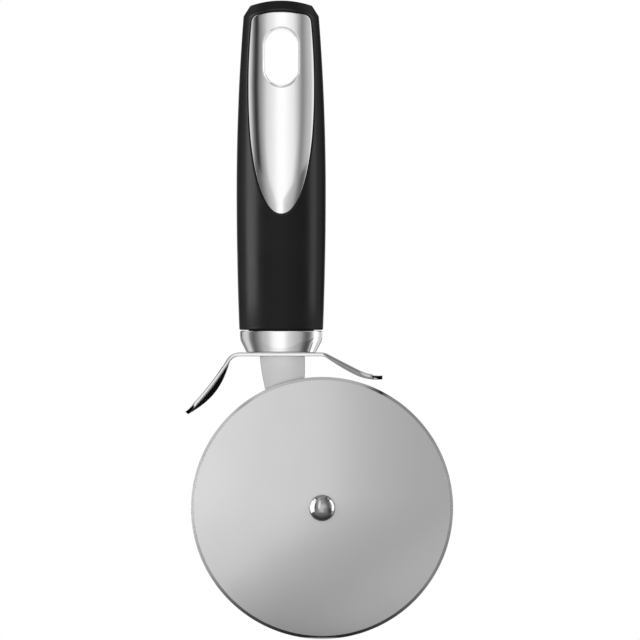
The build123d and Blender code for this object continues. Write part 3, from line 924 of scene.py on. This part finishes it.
# Arm
def arm_line():
    """The arm's outline, anticlockwise: straight edges, the left side's easing curve, the round foot."""
    across = arm_half * np.array((cos(arm_lean), sin(arm_lean)))
    left_foot, right_foot = np.array(axle) - across, np.array(axle) + across
    up = np.array((-sin(arm_lean), cos(arm_lean)))
    left_knee = left_foot + up * arm_straight
    right_knee = np.array((arm_right, right_foot[1] + (right_foot[0] - arm_right) / tan(arm_lean)))
    foot = arc(axle, arm_half, np.linspace(arm_lean - pi, arm_lean, 40)[1:-1])
    # Right knee: an arc of the knee's radius, tangent to both edges
    centre = right_knee + np.array((-knee_radius, knee_radius * tan(arm_lean / 2)))
    knee = arc(centre, knee_radius, np.linspace(-arm_lean, 0, 12))
    # Left side: a cubic from the foot's line to the guard, leaving both at their own slopes
    top_left = np.array((arm_left, arm_top))
    span = np.linalg.norm(top_left - left_knee)
    share = np.linspace(0, 1, 16)[:, None]
    out_slope = up * span
    in_slope = np.array((-sin(arm_entry), cos(arm_entry))) * span
    side = (
        (2 * share**3 - 3 * share**2 + 1) * left_knee
        + (share**3 - 2 * share**2 + share) * out_slope
        + (-2 * share**3 + 3 * share**2) * top_left
        + (share**3 - share**2) * in_slope
    )
    tang = [
        (-tang_half, arm_top),
        (-tang_half, tang_top - tang_corner),
        (-tang_half + tang_corner, tang_top),
        (tang_half - tang_corner, tang_top),
        (tang_half, tang_top - tang_corner),
        (tang_half, arm_top),
        (arm_right, arm_top),
    ]
    return np.concatenate([left_foot[None], foot, right_foot[None], knee, tang[::-1], side[::-1]])


def flat_plate(line, low, high, edge, steps=4):
    """A flat outline made a plate between two depths, with small rounded edges."""
    quarter = np.linspace(0, pi / 2, steps)
    rows = []
    for face, way, angles in ((low, 1, quarter[::-1]), (high, -1, quarter)):
        for inward, drop in zip(*quarter_round(edge, angles)):
            rows.append(raised(line - outward(line) * inward, face + way * drop, 1))
    return capped(rows)


arm_front, arm_rear = -arm_thickness / 2, arm_thickness / 2
holes = [(axle, tail_radius + liner_gap)] + [((0, level), pin_hole) for level in pin_levels]
piece(
    "wheel_arm",
    flat_plate(arm_line(), arm_front, arm_rear, arm_edge),
    arm_steel,
    "handle",
    ["wheel_arm"],
    cutters=[rod(centre, radius, -cutter_reach, cutter_reach) for centre, radius in holes],
)

# Wheel and the turned pieces. The wheel's profile is the same from each face inwards
bevel_start = wheel_radius - edge_bevel_width
bevel_drop = (wheel_rear - wheel_front - edge_land) / 2
wheel_half = [
    (bush_outer, bore_edge),
    *[(out, 0) for out in np.linspace(bush_outer + 2 * bore_edge, bevel_start - 4 * bore_edge, 14)],
    (bevel_start, 0),
    (wheel_radius - rim_edge, bevel_drop - rim_edge / 4),
    (wheel_radius, bevel_drop + rim_edge),
]
wheel_profile = [(out, wheel_front + drop) for out, drop in wheel_half]
wheel_profile += [(out, wheel_rear - drop) for out, drop in wheel_half[::-1]]
wheel_patches = [turned(wheel_profile, 384)]
wheel_piece = piece(
    "cutting_wheel", wheel_patches, wheel_steel, "wheel", ["cutting_wheel"], sharp=10
)

bush_corners = [
    (bush_bore, bush_rear),
    (flange_radius, bush_rear),
    (flange_radius, wheel_rear),
    (bush_outer, wheel_rear),
    (bush_outer, bush_front),
    (bush_bore, bush_front),
]
bush_patches = [turned(rounded(bush_corners, soft_edge))]
piece("wheel_bush", bush_patches, bush_plastic, "wheel", ["wheel_bush"])


def dome(radius, base, rise, rim, direction, steps=22):
    """A domed head's profile from its crown to its rim: an arc whose crown is level."""
    height = rise - rim
    ball = (radius**2 + height**2) / (2 * height)
    reach = np.arcsin(radius / ball)
    angle = np.linspace(0, reach, steps)
    return np.stack([ball * np.sin(angle), base + direction * (rise - ball * (1 - np.cos(angle)))], -1)


front_dome = dome(head_radius, head_rear, head_rise, head_rim, -1)
rear_dome = dome(rear_head_radius, burr_rear, rear_head_rise, head_rim, 1)
front_rim = [front_dome[-2], front_dome[-1], (head_radius, head_rear), (shoulder_radius, head_rear)]
rear_rim = [(tail_radius, burr_rear), (rear_head_radius, burr_rear), rear_dome[-1], rear_dome[-2]]
shank = [(shoulder_radius, head_rear), (shoulder_radius, arm_front), (tail_radius, arm_front)]
rivet_profile = np.concatenate(
    [
        front_dome[:-1],
        rounded(front_rim, soft_edge)[4:12],
        [*shank, (tail_radius, burr_rear)],
        rounded(rear_rim, soft_edge)[4:12],
        rear_dome[:-1][::-1],
    ]
)
rivet_patches = [turned(rivet_profile, 128, closed=False)]
rivet_piece = piece(
    "axle_rivet", rivet_patches, rivet_polish, "handle", ["axle_rivet"], sharp=40
)

# Washers: inner and outer radius, near and far depth
for name, inner, outer, near, far in (
    ("front_washer", bush_bore, 4.6, head_rear, -3.9),
    ("rear_washer", bush_bore, flange_radius, -1.6, arm_front),
    ("rivet_burr", 2.25, 5.0, arm_rear, burr_rear),
):
    ring = rounded([(inner, near), (outer, near), (outer, far), (inner, far)], 0.1)
    piece(name, [turned(ring)], plain_steel, "handle", [name])

# Studio: a level camera straight in front, and a pale floor that mirrors don't see
photo_side = 640
photo_scale = 0.3876
axis_column, slot_row = 281.2, 57.0
camera_distance = 1200
floor_reach = 3000
floor_level = -225.8
half_photo = photo_side / 2
camera_data = bpy.data.cameras.new("camera")
camera_data.type = "ORTHO"
camera_data.ortho_scale = photo_side * photo_scale * mm
camera = placed("camera", camera_data)
camera_x, camera_z = (half_photo - axis_column) * photo_scale, (slot_row - half_photo) * photo_scale
camera.location = Vector((camera_x, -camera_distance, camera_z)) * mm
camera.rotation_euler = (pi / 2, 0, 0)
bpy.context.scene.camera = camera


def sheet(name, points, faces, material):
    """A part of the studio with its points in millimetres."""
    mesh = bpy.data.meshes.new(name)
    mesh.from_pydata((np.asarray(points, float).reshape(-1, 3) * mm).tolist(), [], faces)
    mesh.materials.append(material)
    thing = placed(name, mesh)
    return thing


floor_points = [(x * floor_reach, y * floor_reach, floor_level) for x, y in square]
quad = [(0, 1, 2, 3)]
floor = sheet("floor", floor_points, quad, finish("floor", (0.86, 0.86, 0.86), 0, 0.8)[0])
floor.visible_glossy = False

# The world is a pale studio. What a polished face mirrors depends on the face that would turn the
# photograph's line of sight there: how far that face looks sideways, and how far up or down
world = bpy.data.worlds.new("studio")
world.use_nodes = True
bpy.context.scene.world = world
tree = world.node_tree
tree.nodes.clear()
where = add_node(tree, "ShaderNodeTexCoord").outputs["Generated"]
to_front = vector_maths(tree, "ADD", where, (0, -1, 0))[0]
facing = vector_maths(tree, "NORMALIZE", to_front)[0]
face = split(tree, facing)
level = vector_maths(tree, "MULTIPLY", facing, (1, 1, 0))[0]
sideways = split(tree, vector_maths(tree, "NORMALIZE", level)[0])["X"]
ray = split(tree, where)


def brightness(value, stops, strongest=1.0):
    """Brightness along a value, even between its stops."""
    return maths(tree, "MULTIPLY", ramp_over(tree, value, stops, strongest=strongest), strongest)


def blend(value, low, high, first, second):
    """The first light below a value's low, the second above its high, and a smooth change between."""
    share = spread(tree, value, 0.0, 1.0, low, high, interpolation_type="SMOOTHSTEP")
    return mix_values(tree, share, first, second)


def turned_to(degrees_and_light):
    """Stops at the sines of a face's angles."""
    return [(sin(radians(angle)), light) for angle, light in degrees_and_light]


strip_left, strip_right = 0.85, 1.15
plate_light = brightness(
    sideways,
    turned_to(
        (
            (-90, 0.03), (-61, 0.03), (-56, 0.3), (-50, strip_left), (-41, strip_left), (-37.5, 0.62),
            (-33.2, 0.19), (-29.5, 0.04), (-26.5, 0.06), (-23.5, 0.25), (-20.5, 0.38), (-17, 0.55),
            (-13.8, 0.78), (-7.8, 0.95), (-2.5, 1.12), (3, 1.12), (9.3, 0.96), (12.3, 0.86),
            (15.4, 0.66), (18.9, 0.43), (22.5, 0.27), (26.5, 0.37), (31, 0.51), (36.5, 0.62),
            (42, strip_right), (50, strip_right), (56, 0.3), (61, 0.03), (90, 0.03),
        )
    ),
    strip_right,
)
ferrule_stops = (
    (-90, 0.2), (-66, 0.3), (-60, 0.55), (-54, 0.66), (-46, 0.7), (-42, 0.6),
    (-38, 0.25), (-32.5, 0.125), (-27.7, 0.19), (-23.5, 0.32), (-19.7, 0.47), (-12.9, 0.66),
    (-9.8, 0.88), (-6.9, 1.05), (-2, 1.15), (2, 1.12), (4.6, 0.93), (7.5, 0.74),
    (13.6, 0.56), (16.9, 0.5), (20.4, 0.4), (24.3, 0.21), (28.6, 0.125), (33.6, 0.22),
    (38, 0.55), (43, strip_right), (50, strip_right), (57, 0.9), (64, 0.6), (90, 0.45),
)
ferrule_light = brightness(sideways, turned_to(ferrule_stops), strip_right)
low_levels = ((-90, 0.08), (-36, 0.1), (-32, 0.3), (-29.5, 1.0))
bright_levels = (*low_levels, (36, 0.95), (45, 0.6), (60, 0.3), (90, 0.2))
dim_levels = (
    *low_levels, (8, 1.0), (13, 0.75), (18, 0.55), (30, 0.42), (45, 0.42), (56, 0.12), (90, 0.1)
)
# High up, it is dimmer straight ahead than to the sides
ahead = brightness(
    face["X"], ((-1.0, 1.0), (-0.16, 1.0), (-0.06, 0.0), (0.27, 0.0), (0.36, 1.0), (1.0, 1.0))
)
dim_light, bright_light = (brightness(face["Z"], turned_to(stops)) for stops in (dim_levels, bright_levels))
level_light = blend(ahead, 0.0, 1.0, dim_light, bright_light)
side_light = blend(face["Z"], -0.03, -0.01, ferrule_light, plate_light)
front_light = maths(tree, "MULTIPLY", side_light, level_light)
# Behind the object: bright straight behind, dark beside it, and dark again below the level
right_stops = [(0.2, 0.9), (0.4, 0.45), (0.62, 0.04), (0.85, 0.04), (0.94, 0.5), (1.0, strip_right)]
left_stops = [(-place, light) for place, light in right_stops[::-1]]
behind_side = brightness(ray["X"], left_stops + right_stops, strip_right)
low_behind = blend(ray["X"], -0.1, 0.15, 0.28, 0.004)
behind = blend(ray["Z"], -0.08, -0.03, low_behind, behind_side)
# Low and to the right, what is behind begins further to the front
low_reach, right_reach = blend(ray["Z"], -0.12, -0.06, 1.0, 0.0), blend(ray["X"], 0.08, 0.18, 0.0, 0.17)
low_right = maths(tree, "MULTIPLY", low_reach, right_reach)
backwards = maths(tree, "ADD", ray["Y"], low_right)
pattern = blend(backwards, 0.45, 0.62, front_light, behind)
light_path = add_node(tree, "ShaderNodeLightPath").outputs
plain_level = 0.85
seen = blend(light_path["Is Glossy Ray"], 0.4, 0.6, plain_level, pattern)
shown = blend(light_path["Is Camera Ray"], 0.4, 0.6, seen, 1.0)
studio = add_node(tree, "ShaderNodeBackground", {"Color": shown, "Strength": 1.0})
add_node(tree, "ShaderNodeOutputWorld", {"Surface": studio.outputs[0]})


def card(name, points, faces, material):
    """A part of the studio that only mirrors see."""
    thing = sheet(name, points, faces, material)
    thing.visible_camera = thing.visible_diffuse = False
    thing.visible_shadow = thing.visible_transmission = False


def near_only(material, reach):
    """Hides a card from mirrors that lie further away than a reach in millimetres."""
    card_tree = material.node_tree
    output = next(node for node in card_tree.nodes if node.type == "OUTPUT_MATERIAL")
    shader = output.inputs["Surface"].links[0].from_socket
    length = add_node(card_tree, "ShaderNodeLightPath").outputs["Ray Length"]
    far = maths(card_tree, "GREATER_THAN", length, reach * mm)
    clear = add_node(card_tree, "ShaderNodeBsdfTransparent").outputs[0]
    mixed = add_node(card_tree, "ShaderNodeMixShader", {0: far, 1: shader, 2: clear}).outputs[0]
    card_tree.links.new(mixed, output.inputs["Surface"])
    return material


def black_finish(name):
    """A black that mirrors nothing, with its tree and shader."""
    return finish(name, (0.0, 0.0, 0.0), 0, 1.0, Specular_IOR_Level=0.0)


def light_by(card_tree, shader, share, stops):
    """The light that a card gives at each share."""
    card_tree.links.new(ramp(card_tree, share, stops), shader.inputs["Emission Color"])
    shader.inputs["Emission Strength"].default_value = 1.0


def glow(name, direction, low, high, stops):
    """A card's light along a direction, from one place to another in millimetres."""
    material, card_tree, shader = black_finish(name)
    along = vector_maths(card_tree, "DOT_PRODUCT", object_place(card_tree), direction)["Value"]
    light_by(card_tree, shader, spread(card_tree, along, 0.0, 1.0, low * mm, high * mm), stops)
    return material


# Half an oval just above the floor, in front of the object
floor_stops = ((0.0, 0.55), (0.28, 0.42), (0.58, 0.33), (0.78, 0.18), (0.87, 0.06), (1.0, 0.0))
card_turn = np.linspace(pi, 2 * pi, 24)
card(
    "floor_card",
    [(100 * cos(turn), 84 * sin(turn) - 4, floor_level + 0.2) for turn in card_turn],
    [list(range(len(card_turn)))],
    near_only(glow("floor_shade", (0, 1, 0), -90, 0, floor_stops), 112),
)
# A flag that the right wing's front edge mirrors, and black ones beyond both tips
card(
    "wing_flag",
    [(16.5, -12, -119.2), (31, -12, -126.5), (31, -12, -119.6), (16.5, -12, -112.3)],
    quad,
    near_only(glow("flag_shade", (0.45, 0, 0.89), -96.2, -94.0, ((0.0, 0.32), (1.0, 0.12))), 7),
)
black = near_only(black_finish("black_card")[0], 15)
for name, inner_x, inner_z, outer_x, outer_z in (
    ("right_tip_flag", 41.5, -126.5, 41.5, -122),
    ("left_tip_flag", -40, -137.7, -36.4, -141.2),
):
    side = [(inner_x, y, inner_z) for y in (-15, 5)] + [(outer_x, y, outer_z) for y in (5, -15)]
    card(name, side, quad, black)


def wrap_card(name, radius, low, high, reach, stops):
    """Part of a tube round the handle's axis, whose light follows what the ferrule's band mirrors there.

    The band mirrors the place at twice its face's angle, less a droop in square past its start.
    """
    droop, droop_start = 0.00145, 30
    turns = np.radians(np.linspace(-reach, reach, 49))
    rows = [[(radius * sin(turn), -radius * cos(turn), z) for turn in turns] for z in (low, high)]
    material, card_tree, shader = black_finish(name)
    where = split(card_tree, object_place(card_tree))
    turn = maths(card_tree, "ARCTAN2", where["X"], maths(card_tree, "MULTIPLY", where["Y"], -1.0))
    seen = []
    for angle, light in stops:
        out = abs(2 * angle) - droop * max(abs(2 * angle) - droop_start, 0) ** 2
        if out < reach:
            seen.append(((out / reach * (1 if angle > 0 else -1) + 1) / 2, light))
    share = spread(card_tree, turn, 0.0, 1.0, -radians(reach), radians(reach))
    light_by(card_tree, shader, share, seen)
    card(name, rows, grid_faces(2, len(turns), False, False), material)


wrap_card("ferrule_wrap", 60, -113.4, -102.5, 122, ferrule_stops)

# A clear sheet that darkens what is mirrored through it, from the wheel's left to its lower right
gel_stops = (
    (-55, 0.60), (-35, 0.51), (-24, 0.54), (-14, 0.61), (-7, 0.69), (2, 0.83), (8, 0.86), (22, 0.91),
    (36, 1.0),
)
gel_top, gel_slant = 3, -0.77
gel = bpy.data.materials.new("gel")
gel.use_nodes = True
gel_tree = gel.node_tree
gel_tree.nodes.clear()
place = split(gel_tree, object_place(gel_tree, centre=(axle[0], 0, axle[1])))
low = maths(gel_tree, "MINIMUM", place["Z"], gel_top * mm)
left = maths(gel_tree, "MULTIPLY", place["X"], gel_slant)
gel_light = ramp_over(gel_tree, maths(gel_tree, "ADD", low, left), gel_stops, mm)
clear = add_node(gel_tree, "ShaderNodeBsdfTransparent", {"Color": gel_light}).outputs[0]
add_node(gel_tree, "ShaderNodeOutputMaterial", {"Surface": clear})
card("wheel_gel", [(-75, -15, -238), (105, -15, -238), (105, -15, -121), (-75, -15, -121)], quad, gel)


def soft_box(name, lit, target, turn, rise, width, height, light, reach=600):
    """A rectangular lamp turned towards a target from a bearing and a rise in degrees, for some pieces."""
    data = bpy.data.lights.new(name, "AREA")
    data.shape = "RECTANGLE"
    data.size, data.size_y = width * mm, height * mm
    data.energy = light * pi * width * height * mm * mm
    lamp = placed(name, data)
    out = reach * cos(radians(rise))
    way = Vector((out * sin(radians(turn)), -out * cos(radians(turn)), reach * sin(radians(rise))))
    lamp.location = (Vector(target) + way) * mm
    lamp.rotation_euler = (-way).to_track_quat("-Z", "Y").to_euler()
    pieces = bpy.data.collections.new(name + "_pieces")
    for thing in lit:
        pieces.objects.link(thing)
    lamp.light_linking.receiver_collection = pieces


# Lamps that light single pieces: target, bearing, rise, width, height and radiance
handle_middle = (0, 0, -50)
wheel_middle = (axle[0], 0, axle[1])
ferrule_middle = (0, 0, ferrule_base)
bright_pieces = (rivet_piece, liner_piece)
for lamp in (
    ("grip_left", [soft_skin], handle_middle, -67, 0, 340, 700, 10.0),
    ("grip_right", [soft_skin], handle_middle, 73, 0, 220, 700, 5.6),
    ("grip_top", [soft_skin], handle_middle, 0, 50, 500, 160, 9.6),
    ("rivet_front", [rivet_piece], wheel_middle, -20, 22, 150, 620, 0.75),
    ("ferrule_right", [ferrule_piece], ferrule_middle, 132, -22, 460, 520, 0.7),
    ("wheel_left", [wheel_piece], wheel_middle, -54, 10, 255, 640, 3.0),
    ("wheel_right", [wheel_piece], wheel_middle, 54, 12, 255, 440, 2.6),
    ("rivet_side", bright_pieces, (axle[0], -135, axle[1] + 255), -90, 0, 510, 1050, 2.4),
    ("rivet_side", bright_pieces, (axle[0], -66, axle[1] + 225), 90, 0, 252, 750, 2.4),
):
    soft_box(*lamp)

view = bpy.context.scene.view_settings
view.view_transform = "Standard"
